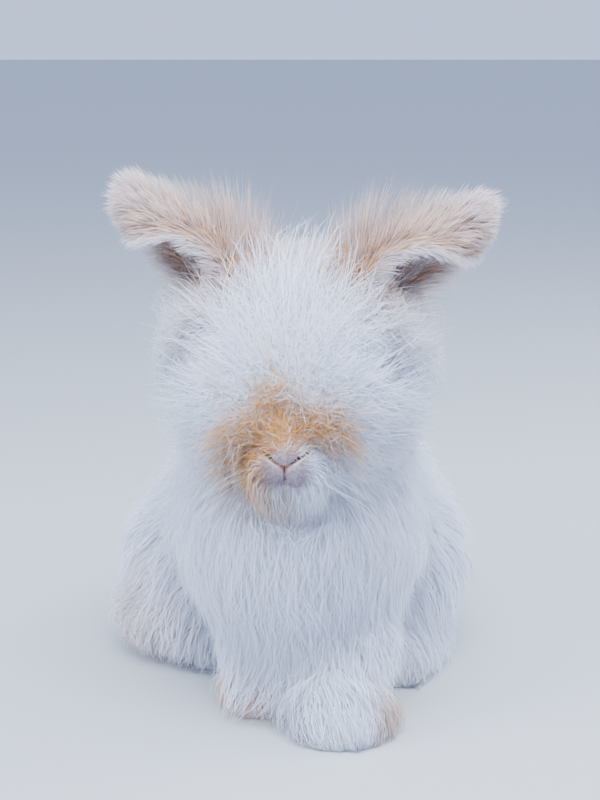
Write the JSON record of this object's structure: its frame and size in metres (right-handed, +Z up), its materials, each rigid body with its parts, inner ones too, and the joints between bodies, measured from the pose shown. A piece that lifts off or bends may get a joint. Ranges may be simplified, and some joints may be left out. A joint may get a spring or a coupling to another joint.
{
  "type": "angora rabbit",
  "caption": "Still life-size model of a young long-coated angora rabbit, sitting up on its forelegs with one forepaw a step ahead and its tufted ears held out to the sides.",
  "frame": {"origin": "middle of the bottom of the rabbit's box, on the floor that it sits on", "axes": "+Z up, -Y the way that the rabbit faces, +X towards the rabbit's own left side"},
  "size_m": [0.2116, 0.2844, 0.2855],
  "materials": {
    "wool_white": "matte",
    "wool_fawn": "matte",
    "eye": "glossy",
    "claw": "satin"
  },
  "bodies": {
    "root": {"head": "wool_white", "neck": "wool_white", "torso": "wool_white", "tail": "wool_white", "foreleg_left": "wool_white", "foreleg_right": "wool_white", "forepaw_left": "wool_white", "forepaw_right": "wool_white", "haunch_left": "wool_white", "haunch_right": "wool_white", "hindfoot_left": "wool_white", "hindfoot_right": "wool_white", "ear_left": "wool_fawn", "ear_right": "wool_fawn", "eye_left": "eye", "eye_right": "eye", "claw_fore_left_1": "claw", "claw_fore_left_2": "claw", "claw_fore_left_3": "claw", "claw_fore_left_4": "claw", "claw_fore_left_5": "claw", "claw_fore_right_1": "claw", "claw_fore_right_2": "claw", "claw_fore_right_3": "claw", "claw_fore_right_4": "claw", "claw_fore_right_5": "claw", "claw_hind_left_1": "claw", "claw_hind_left_2": "claw", "claw_hind_left_3": "claw", "claw_hind_left_4": "claw", "claw_hind_right_1": "claw", "claw_hind_right_2": "claw", "claw_hind_right_3": "claw", "claw_hind_right_4": "claw"}
  },
  "joints": []
}
